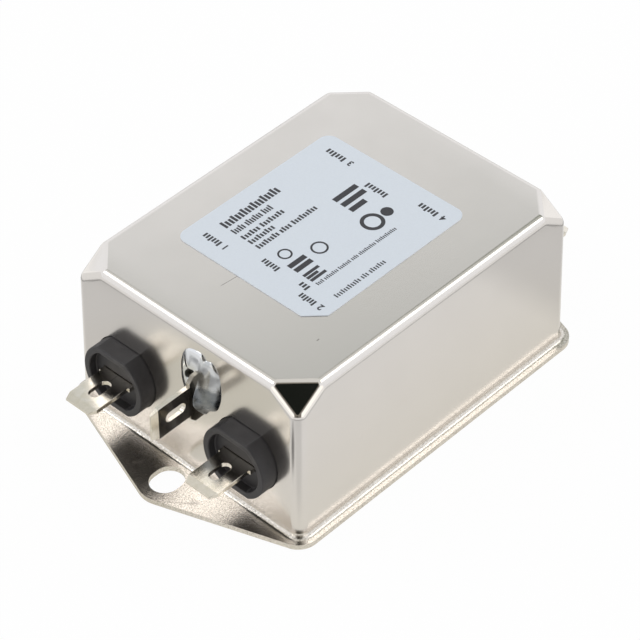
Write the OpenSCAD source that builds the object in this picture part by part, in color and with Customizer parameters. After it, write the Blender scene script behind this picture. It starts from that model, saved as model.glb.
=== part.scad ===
// EMI line filter: a flanged, drawn steel case with quick-connect blades at both ends.
// Millimetres, +Z up. The origin is the middle of the underside of the base plate.
// +X runs along the case, from the line end (with the ground tab) to the load end.

/* [Case] */
// Length of the case at its top face
case_l = 64.6; // [60:0.1:70]
// Width of the case at its top face
case_w = 49.4; // [46:0.1:56]
// Height of the case above the mounting surface
case_h = 31; // [28:0.1:36]
// Outward slope of the walls, per mm of height
wall_slope = 0.016; // [0:0.002:0.03]
// Thickness of the case sheet
sheet_t = 0.5; // [0.4:0.05:0.8]
// Radius of the edges round the top face
top_edge_r = 1.7; // [1.2:0.1:2]
// Radius of the upright edges
side_edge_r = 2; // [1.6:0.1:3]
// Radius of the hollow between wall and flange
root_r = 1; // [0.6:0.1:1.4]
// Length cut off each long top edge by a corner facet
facet_x = 6.8; // [5:0.1:8]
// Length cut off each short top edge by a corner facet
facet_y = 6.8; // [5:0.1:8]
// Depth that a corner facet reaches below the top
facet_z = 4.8; // [3.6:0.1:6]

/* [Flange] */
// Thickness of the base plate under the flange
plate_t = 0.5; // [0.4:0.05:1]
// Width over the flange
flange_w = 53.5; // [52:0.1:60]
// Radius of the four flange corners
flange_corner_r = 3.8; // [3:0.1:4.5]
// Distance between flange corner centres along X
flange_corner_span = 61.6; // [58:0.1:66]
// Distance between the two mounting slots
hole_spacing = 75; // [73:0.5:80]
// Width of a mounting slot
slot_w = 5.3; // [4.3:0.1:5.5]
// Length of a mounting slot
slot_l = 6.3; // [5.5:0.1:7]
// Radius of the ear round a mounting slot
ear_r = 5; // [4.5:0.1:6]
// Distance of the weld dimples from the centre line
weld_y = 6.8; // [5.5:0.1:8]

/* [Terminals] */
// Distance between the two terminals of an end
terminal_pitch = 27.2; // [25:0.1:30]
// Height of the terminals above the mounting surface
terminal_z = 12.8; // [11:0.1:15]
// Distance of every blade tip from the middle of the case
tip_x = 43.7; // [42:0.1:46]
// Width of a blade
tab_w = 6.3; // [4.8:0.1:6.4]
// Thickness of a blade
tab_t = 0.8; // [0.5:0.1:0.8]
// Width of a blade where it leaves its bushing
tab_root_w = 7; // [6.5:0.1:8]
// Length of the slot in a blade
tab_slot_l = 4.3; // [3:0.1:5]
// Width of the slot in a blade
tab_slot_w = 2; // [1.6:0.1:2.4]
// Length of the bevel and the corner cuts at a blade's tip
tip_bevel = 1.4; // [0.8:0.1:2]
// Width of the corner cuts at a blade's tip
tip_cut = 0.55; // [0.3:0.05:1.2]
// Radius of a bushing's round sides
bushing_r = 6.6; // [6:0.1:7]
// Height of a bushing across its flats
bushing_h = 11.6; // [10:0.1:12.4]
// Distance of a bushing's face from the middle of the case
bushing_x = 35.8; // [35:0.1:37]
// Width of the rim round a bushing's recess
bushing_rim = 1.2; // [0.9:0.1:1.6]
// Depth of a bushing's recess
recess_depth = 1.5; // [1:0.1:2]

/* [Ground tab] */
// Sideways place of the ground tab
ground_y = -3.7; // [-5:0.1:5]
// Height of the ground tab's centre line
ground_z = 19.7; // [18:0.1:21]
// Height of the ground tab's shoulders at the wall
ground_root_w = 9.6; // [8:0.1:11]
// Length of the ground tab's shoulders outside the wall
ground_root_l = 2.9; // [2:0.1:4]
// Width of the solder pool on the wall
solder_w = 8.2; // [7:0.1:10]
// Height of the solder pool on the wall
solder_h = 12; // [10:0.1:13]
// Thickness of the solder pool
solder_t = 0.9; // [0.6:0.1:1.6]
// How far the solder climbs along the tab on its left side
solder_climb_left = 1.6; // [1:0.1:2.4]
// How far the solder climbs along the tab on its right side
solder_climb_right = 2.6; // [1.6:0.1:3]

/* [Label] */
// Length of the label
label_l = 36.2; // [30:0.1:44]
// Width of the label
label_w = 31; // [26:0.1:36]
// Thickness of the label
label_t = 0.12; // [0.08:0.02:0.2]
// Corner radius of the label
label_r = 2; // [1:0.1:3]
// Cut across the label's line-end right corner
label_cut = 3; // [2:0.1:5]

/* [Inside] */
// Gap between the circuit board's ends and the case
board_end_gap = 4.2; // [3.8:0.1:4.6]
// Gap between the circuit board's sides and the case
board_side_gap = 2.6; // [1.5:0.1:4]
// Thickness of the circuit board
board_t = 1.6; // [1.2:0.1:2]
// Height of the board's underside above the mounting surface
board_z = 4; // [3.4:0.1:5]
// Thickness of the insulating sheet
liner_t = 0.3; // [0.2:0.05:0.5]
// Gap between the insulating sheet's edges and the case
liner_gap = 1.2; // [0.8:0.1:2]
// Radius of the choke ring's centre line
ring_r = 9; // [8.6:0.1:9.6]
// Radius of the choke ring's round section
ring_section_r = 3.6; // [3.2:0.1:3.9]
// Diameter of the winding wire
wire_d = 1.2; // [1:0.1:1.2]
// Turns in each winding
turns = 8; // [5:1:8]
// Thickness of the plastic divider in the ring
divider_t = 1.2; // [0.8:0.1:2]
// Length of a box capacitor along the case
box_cap_l = 8.5; // [7:0.1:9.5]
// Width of a box capacitor across the case
box_cap_w = 22; // [18:0.5:26]
// Height of a box capacitor
box_cap_h = 17; // [12:0.5:20]
// Radius of a disc capacitor
disc_cap_r = 4; // [3:0.1:5]
// Radius of the resistor's body
resistor_r = 1.8; // [1.2:0.1:2]

/* [Hidden] */
$fn = 64;
hull_fn = 32;
outline_fn = 48;
steel = "lightgray";
black = "dimgray";
// Clearance round a piece that passes through a hole, the wider one round a bushing, overlap of
// joined and cutting bodies, and length of a cutting body that goes through a wall
fit_gap = 0.08;
bushing_gap = 0.15;
over = 0.5;
through = 3;

flange_top = plate_t + sheet_t;
board_top = board_z + board_t;
hole_x = hole_spacing / 2;

// Half length and half width of the case at height z, over the sheet
function half_l(z) = case_l / 2 + wall_slope * (case_h - z);
function half_w(z) = case_w / 2 + wall_slope * (case_h - z);

// Radius of a ball that shows a cap of this width and height
function cap_radius(width, height) = (pow(width / 2, 2) + pow(height, 2)) / (2 * height);

// The facet plane, moved inwards by an edge radius, meets the other two offset faces here
facet_tilt = norm([1 / facet_x, 1 / facet_y, 1 / facet_z]);
function ball_inset(radius, leg, other_a, other_b) =
    leg * (1 + radius * (facet_tilt - 1 / other_a - 1 / other_b));
ball_x = ball_inset(top_edge_r, facet_x, facet_y, facet_z);
ball_y = ball_inset(top_edge_r, facet_y, facet_x, facet_z);
ball_z = ball_inset(side_edge_r, facet_z, facet_x, facet_y);

// Centres of the flange corners
corner_x = flange_corner_span / 2;
corner_y = flange_w / 2 - flange_corner_r;
weld_w = 2.4;
weld_depth = 0.1;
weld_margin = 0.3;
weld_r = cap_radius(weld_w, weld_depth);

// Centre of the label on the top face
label_x = 0.2;
label_y = 0.8;

// The inner flange of a bushing bears on the inside of the sloping wall with its upper edge
contact_gap = 0.02;
seat_r = 8;
seat_h = 14.4;
seat_t = 1.5;
seat_x = half_l(terminal_z + seat_h / 2) - sheet_t - contact_gap;
boss_l = 2.4;
boss_w = 10;
boss_h = 4.4;
boss_end = seat_x - seat_t - boss_l;

// The blades: shoulders in the recess, slot near the tip, and a tail bent down into the board
recess_floor = bushing_x - recess_depth;
root_l = 1.1;
root_end = recess_floor + root_l;
tab_slot_back = 5.1;
tab_slot_x = tip_x - tab_slot_back;
tail_back = 1.66;
tail_x = boss_end - tail_back;
tail_w = 2;
tail_below_board = 1.1;
tail_end_z = board_z - tail_below_board;

// The board and the sheet under it fit in the case
board_half_l = half_l(board_z) - sheet_t - board_end_gap;
board_half_w = half_w(board_z) - sheet_t - board_side_gap;
liner_half_l = half_l(plate_t) - sheet_t - liner_gap;
liner_half_w = half_w(plate_t) - sheet_t - liner_gap;

// The choke stands on the board on its windings
wire_r = wire_d / 2;
winding_gap = 0.15;
turn_r = ring_section_r + wire_r + winding_gap;
choke_z = board_top + turn_r + wire_r;
// Each winding covers this much of the ring
winding_arc = 130;

// Places of the other parts on the board
box_cap_gap = 1.15;
box_cap_x = tail_x - tab_t / 2 - box_cap_gap - box_cap_l / 2;
box_cap_lead_y = 7.5;
side_part_inset = 2.7;
side_part_y = board_half_w - side_part_inset;
disc_x = -8;
disc_t = 3;
disc_lead_x = 2.5;
disc_stand_off = 1.2;
resistor_x = 8;
resistor_half_l = 4.5;
resistor_lead_x = 6.2;
lead_r = 0.35;
lead_below_board = 0.8;
lead_end_z = board_z - lead_below_board;

// Ground wire: its top hangs on the ground tab's inner end, its foot is near the board's end
ground_wire_inset = 1;
ground_wire_x = -board_half_l + ground_wire_inset;
tab_tail_l = 2.8;

module mirrored_x() {
    children();
    mirror([1, 0, 0]) children();
}

module mirrored_y() {
    children();
    mirror([0, 1, 0]) children();
}

// Solid block with the outer form of the case, or of its cavity when inset is the sheet
module case_block(inset, bottom) {
    hull() {
        mirrored_x() mirrored_y() {
            translate([case_l / 2 - ball_x, case_w / 2 - top_edge_r, case_h - top_edge_r])
                sphere(r = top_edge_r - inset, $fn = hull_fn);
            translate([case_l / 2 - top_edge_r, case_w / 2 - ball_y, case_h - top_edge_r])
                sphere(r = top_edge_r - inset, $fn = hull_fn);
            translate([half_l(case_h - ball_z) - side_edge_r,
                       half_w(case_h - ball_z) - side_edge_r, case_h - ball_z])
                sphere(r = side_edge_r - inset, $fn = hull_fn);
            translate([half_l(bottom) - side_edge_r, half_w(bottom) - side_edge_r, bottom])
                cylinder(r = side_edge_r - inset, h = 0.01, $fn = hull_fn);
        }
    }
}

// Outline that the flange and the base plate share
module flange_outline() {
    hull() mirrored_x() {
        translate([hole_x, 0]) circle(r = ear_r, $fn = outline_fn);
        mirrored_y() translate([corner_x, corner_y])
            circle(r = flange_corner_r, $fn = outline_fn);
    }
}

module slot_outline(length, width) {
    reach = (length - width) / 2;
    translate([-reach, -width / 2]) square([2 * reach, width]);
    translate([-reach, 0]) circle(d = width);
    translate([reach, 0]) circle(d = width);
}

module mounting_slots() {
    mirrored_x() translate([hole_x, 0, -over]) linear_extrude(flange_top + 2 * over)
        slot_outline(slot_l, slot_w);
}

// Section of a hollow fillet in the corner of two faces, reaching into both of them
module hollow_section(radius, into) {
    difference() {
        translate([-into, -into]) square(radius + into);
        translate([radius, radius]) circle(r = radius);
    }
}

module root_section() {
    hollow_section(root_r, sheet_t / 2);
}

module root_fillet() {
    wall_x = half_l(flange_top);
    wall_y = half_w(flange_top);
    run_x = wall_x - side_edge_r;
    run_y = wall_y - side_edge_r;
    translate([0, 0, flange_top]) mirrored_x() mirrored_y() {
        translate([wall_x, run_y, 0]) rotate([90, 0, 0]) linear_extrude(run_y) root_section();
        translate([0, wall_y, 0]) rotate([90, 0, 90]) linear_extrude(run_x) root_section();
        translate([run_x, run_y, 0]) rotate_extrude(angle = 90)
            translate([side_edge_r, 0]) root_section();
    }
}

// A round bar along X with a flat above and below, from x = 0 to x = length
module double_d(radius, height, length) {
    rotate([90, 0, 90]) linear_extrude(length) intersection() {
        circle(r = radius);
        square([2 * radius, height], center = true);
    }
}

module at_terminals() {
    mirrored_x() mirrored_y() translate([0, terminal_pitch / 2, terminal_z]) children();
}

// Shallow cap of a ball, cut off just over the sheet and clear of the case wall
module weld_dimple() {
    intersection() {
        translate([0, 0, weld_r]) sphere(r = weld_r);
        cylinder(d = weld_w + 2 * weld_margin, h = 2 * weld_depth);
    }
}

module can() {
    color(steel) difference() {
        union() {
            case_block(0, plate_t);
            translate([0, 0, plate_t]) linear_extrude(sheet_t) flange_outline();
            root_fillet();
        }
        case_block(sheet_t, plate_t - over);
        mounting_slots();
        at_terminals() translate([seat_x, 0, 0])
            double_d(bushing_r + bushing_gap, bushing_h + 2 * bushing_gap, through);
        translate([-half_l(ground_z) - through / 2, ground_y - tab_t / 2 - fit_gap,
                   ground_z - tab_w / 2 - fit_gap])
            cube([through, tab_t + 2 * fit_gap, tab_w + 2 * fit_gap]);
        mirrored_x() mirrored_y() translate([hole_x, weld_y, flange_top - weld_depth])
            weld_dimple();
    }
}

module base_plate() {
    color(steel) difference() {
        linear_extrude(plate_t) flange_outline();
        mounting_slots();
    }
}

module rating_label() {
    color("white") translate([label_x, label_y, case_h]) linear_extrude(label_t) difference() {
        square([label_l, label_w], center = true);
        mirrored_x() mirrored_y()
            translate([label_l / 2 - label_r, label_w / 2 - label_r]) difference() {
                square(label_r + over);
                circle(r = label_r);
            }
        translate([-label_l / 2, -label_w / 2]) rotate(45)
            square(label_cut * sqrt(2), center = true);
    }
}

// One bushing at the load end, on the left: the others are its mirror images
module bushing() {
    color(black) translate([0, terminal_pitch / 2, terminal_z]) difference() {
        union() {
            translate([seat_x - over, 0, 0])
                double_d(bushing_r, bushing_h, bushing_x - seat_x + over);
            translate([seat_x - seat_t, 0, 0]) double_d(seat_r, seat_h, seat_t);
            translate([boss_end, -boss_w / 2, -boss_h / 2]) cube([boss_l + over, boss_w, boss_h]);
        }
        translate([recess_floor, 0, 0])
            double_d(bushing_r - bushing_rim, bushing_h - 2 * bushing_rim, recess_depth + over);
        translate([tail_x, -tab_root_w / 2, -tab_t / 2])
            cube([root_end - tail_x, tab_root_w, tab_t + fit_gap]);
    }
}

// Blade outline beyond the shoulders, from x = start to the tip, about the X axis
module tab_outline(start) {
    half = tab_w / 2;
    tip_half = half - tip_cut;
    difference() {
        polygon([
            [start, -half], [tip_x - tip_bevel, -half], [tip_x, -tip_half],
            [tip_x, tip_half], [tip_x - tip_bevel, half], [start, half],
        ]);
        translate([tab_slot_x, 0]) slot_outline(tab_slot_l, tab_slot_w);
    }
}

// Blade thickness seen from its edge: full, then bevelled on both faces to the tip
module tab_edge(start) {
    half = tab_t / 2;
    tip_half = 0.42 * half;
    polygon([
        [start, -half], [tip_x - tip_bevel, -half], [tip_x, -tip_half],
        [tip_x, tip_half], [tip_x - tip_bevel, half], [start, half],
    ]);
}

module terminal() {
    color("silver") translate([0, terminal_pitch / 2, terminal_z]) {
        intersection() {
            translate([0, 0, -tab_t]) linear_extrude(2 * tab_t) union() {
                tab_outline(tail_x);
                translate([tail_x, -tab_root_w / 2]) square([root_end - tail_x, tab_root_w]);
            }
            translate([0, tab_w, 0]) rotate([90, 0, 0]) linear_extrude(2 * tab_w)
                tab_edge(tail_x);
        }
        translate([tail_x - tab_t / 2, -tail_w / 2, tail_end_z - terminal_z])
            cube([tab_t, tail_w, terminal_z + tab_t / 2 - tail_end_z]);
    }
}

// Upright blade; its shoulders stand against the wall and its neck passes through it
module ground_tab() {
    low = ground_z - ground_root_w / 2;
    high = ground_z + ground_root_w / 2;
    shoulder = half_l(ground_z) + ground_root_l;
    cut = 1;
    start = half_l(ground_z) - tab_tail_l;
    color("silver") mirror([1, 0, 0]) translate([0, ground_y, 0]) intersection() {
        translate([0, tab_t, 0]) rotate([90, 0, 0]) linear_extrude(2 * tab_t) union() {
            translate([0, ground_z]) tab_outline(start);
            polygon([
                [half_l(low), low], [shoulder - cut, low], [shoulder, low + cut],
                [shoulder, high - cut], [shoulder - cut, high], [half_l(high), high],
            ]);
        }
        translate([0, 0, ground_z - ground_root_w]) linear_extrude(2 * ground_root_w)
            tab_edge(start);
    }
}

// Keeps what lies outside the sloping wall of the line end
module outside_line_wall() {
    difference() {
        children();
        mirror([1, 0, 0]) rotate([90, 0, 0]) linear_extrude(2 * case_w, center = true)
            polygon([[0, 0], [half_l(0), 0], [half_l(2 * case_h), 2 * case_h], [0, 2 * case_h]]);
    }
}

// Pool of solder on the wall, higher than the ground tab, with a hollow fillet that rises along
// each side of the tab
module ground_solder() {
    cap_r = cap_radius(solder_w, solder_t);
    reach = (solder_h - solder_w) / 2;
    aside = -0.1;
    above = 2.2;
    into_wall = 1;
    wall_x = -half_l(ground_z);
    color("gainsboro") difference() {
        outside_line_wall() union() {
            hull() for (side = [-1, 1])
                translate([wall_x + cap_r - solder_t, ground_y + aside,
                           ground_z + above + side * reach])
                    sphere(r = cap_r, $fn = hull_fn);
            intersection() {
                translate([wall_x, ground_y, ground_z - ground_root_w / 2])
                    linear_extrude(ground_root_w) {
                        translate([0, tab_t / 2]) mirror([1, 0])
                            hollow_section(solder_climb_left, into_wall);
                        translate([0, -tab_t / 2]) rotate(180)
                            hollow_section(solder_climb_right, into_wall);
                    }
                translate([wall_x, ground_y, ground_z]) sphere(d = ground_root_w - 0.4);
            }
        }
        translate([-tip_x, ground_y - tab_t / 2, ground_z - ground_root_w / 2])
            cube([tip_x, tab_t, ground_root_w]);
    }
}

module insulating_sheet() {
    color("antiquewhite") translate([0, 0, plate_t]) linear_extrude(liner_t)
        square([2 * liner_half_l, 2 * liner_half_w], center = true);
}

module circuit_board() {
    color("darkgreen") difference() {
        translate([0, 0, board_z]) linear_extrude(board_t)
            square([2 * board_half_l, 2 * board_half_w], center = true);
        mirrored_x() mirrored_y()
            translate([tail_x - tab_t / 2 - fit_gap, terminal_pitch / 2 - tail_w / 2 - fit_gap,
                       board_z - over])
                cube([tab_t + 2 * fit_gap, tail_w + 2 * fit_gap, board_t + 2 * over]);
        mirrored_y() for (side = [-1, 1])
            board_hole(ring_point(side * winding_arc / 2, 0), wire_r);
        mirrored_x() mirrored_y() board_hole([box_cap_x, box_cap_lead_y], lead_r);
        mirrored_y() for (side = [-1, 1])
            board_hole([disc_x + side * disc_lead_x, side_part_y], lead_r);
        for (side = [-1, 1])
            board_hole([resistor_x + side * resistor_lead_x, side_part_y], lead_r);
        board_hole([ground_wire_x, ground_y], wire_r);
    }
}

module board_hole(place, radius) {
    translate([place.x, place.y, board_z - over])
        cylinder(r = radius + fit_gap, h = board_t + 2 * over);
}

// Solder cones under the board round the four blade tails
module board_joints() {
    height = tail_below_board - 0.2;
    low_r = tail_w / 2 + 0.2;
    color("gainsboro") mirrored_x() mirrored_y() difference() {
        translate([tail_x, terminal_pitch / 2, board_z - height])
            cylinder(r1 = low_r, r2 = low_r + 0.7, h = height);
        translate([tail_x - tab_t / 2, terminal_pitch / 2 - tail_w / 2, tail_end_z])
            cube([tab_t, tail_w, board_z]);
    }
}

module choke_core() {
    color("darkslategray") translate([0, 0, choke_z]) rotate_extrude()
        translate([ring_r, 0]) circle(r = ring_section_r);
}

// Stands in the ring's hole and touches its inside nearly
module choke_divider() {
    half = ring_r - ring_section_r - fit_gap;
    color("white") translate([-half, -divider_t / 2, board_top])
        cube([2 * half, divider_t, choke_z + turn_r - board_top]);
}

// Centre of the wire, along is the angle round the ring from +Y, turn the angle round its section
function ring_point(along, turn) =
    let (reach = ring_r + turn_r * cos(turn))
    [reach * sin(along), reach * cos(along), choke_z + turn_r * sin(turn)];

steps_per_turn = 16;
winding_path = concat(
    [winding_foot(-1)],
    [for (i = [0 : turns * steps_per_turn])
        ring_point((i / (turns * steps_per_turn) - 0.5) * winding_arc, i * 360 / steps_per_turn)],
    [winding_foot(1)]
);
function winding_foot(side) =
    let (top = ring_point(side * winding_arc / 2, 0)) [top.x, top.y, lead_end_z];

function unit(v) = v / norm(v);
// Direction of travel at point i of a path
function heading(path, i) =
    let (last = len(path) - 1)
    unit(unit(path[min(i + 1, last)] - path[min(i, last - 1)])
         + unit(path[max(i, 1)] - path[max(i - 1, 0)]));

// A round wire of the given radius along a path, with side pointing across every bend
module wire(path, radius, side, sides = 8) {
    last = len(path) - 1;
    points = [
        for (i = [0 : last])
            let (
                along = heading(path, i),
                across = unit(cross(along, side(path[i]))),
                up = cross(across, along)
            )
            for (k = [0 : sides - 1])
                path[i] + radius * (cos(k * 360 / sides) * across + sin(k * 360 / sides) * up)
    ];
    faces = concat(
        [[for (k = [0 : sides - 1]) k]],
        [for (i = [0 : last - 1], k = [0 : sides - 1])
            let (next = (k + 1) % sides)
            [i * sides + k, (i + 1) * sides + k, (i + 1) * sides + next, i * sides + next]],
        [[for (k = [sides - 1 : -1 : 0]) last * sides + k]]
    );
    polyhedron(points, faces, convexity = 6);
}

module choke_winding() {
    round_ring = function(p) unit([p.y, -p.x, 0]);
    color("peru") wire(winding_path, wire_r, round_ring);
}

module choke_winding_line() {
    choke_winding();
}

module choke_winding_neutral() {
    mirror([0, 1, 0]) choke_winding();
}

module x_capacitor() {
    color("goldenrod") {
        translate([box_cap_x - box_cap_l / 2, -box_cap_w / 2, board_top])
            cube([box_cap_l, box_cap_w, box_cap_h]);
        for (side = [-1, 1]) translate([box_cap_x, side * box_cap_lead_y, lead_end_z])
            cylinder(r = lead_r, h = board_top - lead_end_z + over);
    }
}

module y_capacitor() {
    axis_z = board_top + disc_stand_off + disc_cap_r;
    color("steelblue") {
        translate([disc_x, side_part_y + disc_t / 2, axis_z])
            rotate([90, 0, 0]) cylinder(r = disc_cap_r, h = disc_t);
        for (side = [-1, 1]) translate([disc_x + side * disc_lead_x, side_part_y, lead_end_z])
            cylinder(r = lead_r, h = axis_z - lead_end_z);
    }
}

module discharge_resistor() {
    axis_z = board_top + resistor_r;
    color("tan") {
        translate([resistor_x - resistor_half_l, side_part_y, axis_z])
            rotate([0, 90, 0]) cylinder(r = resistor_r, h = 2 * resistor_half_l);
        translate([resistor_x - resistor_lead_x, side_part_y, axis_z])
            rotate([0, 90, 0]) cylinder(r = lead_r, h = 2 * resistor_lead_x);
        for (side = [-1, 1])
            translate([resistor_x + side * resistor_lead_x, side_part_y, lead_end_z])
                cylinder(r = lead_r, h = axis_z - lead_end_z);
    }
}

// Wire from the lower edge of the ground tab's inner end down through the board
module ground_wire() {
    start = [-half_l(ground_z) + tab_tail_l - 1, ground_y, ground_z - tab_w / 2];
    foot = [ground_wire_x, ground_y, lead_end_z];
    drop = 3;
    rise = 8;
    path = [start, start - [0, 0, drop], foot + [0, 0, rise], foot];
    sideways = function(p) [0, 1, 0];
    color("peru") wire(path, wire_r, sideways);
}

can();
base_plate();
rating_label();
mirror([1, 0, 0]) bushing();  // bushing_line_left
rotate(180) bushing();  // bushing_line_right
bushing();  // bushing_load_left
mirror([0, 1, 0]) bushing();  // bushing_load_right
mirror([1, 0, 0]) terminal();  // terminal_line_left
rotate(180) terminal();  // terminal_line_right
terminal();  // terminal_load_left
mirror([0, 1, 0]) terminal();  // terminal_load_right
ground_tab();
ground_solder();
ground_wire();
insulating_sheet();
circuit_board();
board_joints();
choke_core();
choke_divider();
choke_winding_line();
choke_winding_neutral();
mirror([1, 0, 0]) x_capacitor();  // x_capacitor_line
x_capacitor();  // x_capacitor_load
y_capacitor();  // y_capacitor_left
mirror([0, 1, 0]) y_capacitor();  // y_capacitor_right
discharge_resistor();
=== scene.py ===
"""Looks of a chassis-mount line filter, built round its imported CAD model.

The CAD model gives every rigid piece its place and size.  This script gives the pieces
their finishes, rounds their edges, lays the print on the label, sets the solder on the
earth blade, and adds a plain studio.
"""

import logging
import math
from dataclasses import dataclass, field
from enum import Enum

import bmesh
import bpy
from mathutils import Matrix, Vector, noise


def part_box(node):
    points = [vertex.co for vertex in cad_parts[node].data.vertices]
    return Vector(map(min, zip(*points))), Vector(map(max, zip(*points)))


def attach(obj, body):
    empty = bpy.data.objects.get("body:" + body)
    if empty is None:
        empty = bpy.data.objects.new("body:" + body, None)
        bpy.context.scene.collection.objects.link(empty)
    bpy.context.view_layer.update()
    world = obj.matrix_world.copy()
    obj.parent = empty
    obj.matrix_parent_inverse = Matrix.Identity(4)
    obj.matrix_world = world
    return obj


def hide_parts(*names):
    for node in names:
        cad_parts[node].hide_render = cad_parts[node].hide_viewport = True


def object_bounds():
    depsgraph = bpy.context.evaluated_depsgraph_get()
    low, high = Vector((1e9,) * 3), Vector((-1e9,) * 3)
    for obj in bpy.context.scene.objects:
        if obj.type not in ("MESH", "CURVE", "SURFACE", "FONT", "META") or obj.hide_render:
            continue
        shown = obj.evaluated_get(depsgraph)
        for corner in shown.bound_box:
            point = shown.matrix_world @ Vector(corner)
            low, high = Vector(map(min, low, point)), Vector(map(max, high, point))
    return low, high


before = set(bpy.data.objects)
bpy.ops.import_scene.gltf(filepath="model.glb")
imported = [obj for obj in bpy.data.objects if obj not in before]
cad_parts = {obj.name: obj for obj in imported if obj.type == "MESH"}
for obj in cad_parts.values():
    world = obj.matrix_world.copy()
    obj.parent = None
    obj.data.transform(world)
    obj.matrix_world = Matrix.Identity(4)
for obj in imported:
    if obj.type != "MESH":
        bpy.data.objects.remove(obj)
cad_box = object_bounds()

LOG = logging.getLogger("line_filter")
MM = 0.001
ROOT = "root"
EVEN = (1.0, 1.0, 1.0)
ROLLED = (0.06, 1.0, 1.0)
WHITE = (1.0, 1.0, 1.0)
ORIGIN = (0.0, 0.0, 0.0)

Rgb = tuple[float, float, float]
Point2 = tuple[float, float]
Socket = bpy.types.NodeSocket


class End(Enum):
    """The two ends of the case."""

    LINE = "line"
    LOAD = "load"


class Side(Enum):
    """The two terminals of an end."""

    LEFT = "left"
    RIGHT = "right"


def rgba(colour: Rgb) -> tuple[float, float, float, float]:
    """Returns the colour with full alpha."""
    return (*colour, 1.0)


# ---------------------------------------------------------------------------------------
# Node graphs
# ---------------------------------------------------------------------------------------


class Graph:
    """A node tree with short calls that add nodes and join them."""

    def __init__(self, tree: bpy.types.NodeTree) -> None:
        """Starts an empty graph.

        Args:
            tree: The node tree of a material or of the world.
        """
        self.tree = tree
        tree.nodes.clear()

    def add(self, kind: str, **settings: object) -> bpy.types.Node:
        """Adds a node.

        Args:
            kind: The node's type name, without its ShaderNode prefix.
            settings: Properties of the node to set.

        Returns:
            The new node.
        """
        made = self.tree.nodes.new("ShaderNode" + kind)
        for key, value in settings.items():
            setattr(made, key, value)
        return made

    def feed(self, into: Socket, value: object) -> None:
        """Links a socket, or sets a plain value, on an input.

        Args:
            into: The input socket.
            value: An output socket, a number, or a tuple of numbers.
        """
        if isinstance(value, bpy.types.NodeSocket):
            self.tree.links.new(value, into)
        else:
            into.default_value = value

    def place(self, stretch: Rgb = EVEN) -> Socket:
        """Returns the position on the object in millimetres, stretched per axis."""
        coordinates = self.add("TexCoord")
        mapping = self.add("Mapping")
        mapping.inputs["Scale"].default_value = tuple(1 / MM * s for s in stretch)
        self.feed(mapping.inputs["Vector"], coordinates.outputs["Object"])
        return mapping.outputs["Vector"]

    def axes(self, where: Socket) -> tuple[Socket, Socket, Socket]:
        """Returns the three parts of a vector."""
        made = self.add("SeparateXYZ")
        self.feed(made.inputs[0], where)
        return made.outputs[0], made.outputs[1], made.outputs[2]

    def speckle(self, where: Socket, size: float, detail: float = 3.0,
                rough: float = 0.55) -> Socket:
        """Returns noise from 0 to 1 whose blotches are about size millimetres across."""
        made = self.add("TexNoise")
        self.feed(made.inputs["Vector"], where)
        made.inputs["Scale"].default_value = 1 / size
        made.inputs["Detail"].default_value = detail
        made.inputs["Roughness"].default_value = rough
        return made.outputs["Fac"]

    def math(self, kind: str, a: object, b: object = 0.0, clamp: bool = False) -> Socket:
        """Returns the result of a two-value math node."""
        made = self.add("Math", operation=kind, use_clamp=clamp)
        self.feed(made.inputs[0], a)
        self.feed(made.inputs[1], b)
        return made.outputs[0]

    def band(self, value: Socket, low: float, high: float, fade: float) -> Socket:
        """Returns 1 between low and high, falling to 0 over fade on both sides."""
        rise = self.remap(value, low - fade, low, 0.0, 1.0, smooth=True)
        fall = self.remap(value, high, high + fade, 1.0, 0.0, smooth=True)
        return self.math("MULTIPLY", rise, fall)

    def vector(self, kind: str, a: object, b: object) -> Socket:
        """Returns the result of a vector math node: its value for a dot, length or distance."""
        made = self.add("VectorMath", operation=kind)
        self.feed(made.inputs[0], a)
        self.feed(made.inputs[1], b)
        scalar = kind in ("DOT_PRODUCT", "DISTANCE", "LENGTH")
        return made.outputs["Value" if scalar else "Vector"]

    def remap(self, value: Socket, low: float, high: float, to_low: float, to_high: float,
              smooth: bool = False) -> Socket:
        """Returns value moved from one range to another, held at both ends."""
        made = self.add("MapRange", interpolation_type="SMOOTHSTEP" if smooth else "LINEAR")
        self.feed(made.inputs["Value"], value)
        for name, number in (("From Min", low), ("From Max", high),
                             ("To Min", to_low), ("To Max", to_high)):
            made.inputs[name].default_value = number
        return made.outputs["Result"]

    def blend(self, amount: object, a: object, b: object) -> Socket:
        """Returns colour a turning into colour b as amount goes from 0 to 1."""
        made = self.add("Mix", data_type="RGBA")
        self.feed(made.inputs["Factor"], amount)
        self.feed(made.inputs["A"], rgba(a) if isinstance(a, tuple) else a)
        self.feed(made.inputs["B"], rgba(b) if isinstance(b, tuple) else b)
        return made.outputs["Result"]

    def relief(self, height: Socket, strength: float, depth: float,
               under: Socket | None = None) -> Socket:
        """Returns a normal bent by a height field.

        Args:
            height: The height, from 0 to 1.
            strength: How much of the bend to use.
            depth: What a height of 1 stands for, in millimetres.
            under: A normal to bend further, if any.

        Returns:
            The bent normal.
        """
        made = self.add("Bump")
        made.inputs["Strength"].default_value = strength
        made.inputs["Distance"].default_value = depth * MM
        self.feed(made.inputs["Height"], height)
        if under is not None:
            self.feed(made.inputs["Normal"], under)
        return made.outputs["Normal"]

    def shader(self, **inputs: object) -> bpy.types.Node:
        """Adds a Principled surface and the material output.

        Args:
            inputs: Values or sockets by input name, with _ for a space.

        Returns:
            The Principled node.
        """
        made = self.add("BsdfPrincipled")
        for key, value in inputs.items():
            into = made.inputs[key.replace("_", " ")]
            is_colour = isinstance(value, tuple) and into.type == "RGBA"
            self.feed(into, rgba(value) if is_colour else value)
        output = self.add("OutputMaterial")
        self.feed(output.inputs["Surface"], made.outputs["BSDF"])
        return made


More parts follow.
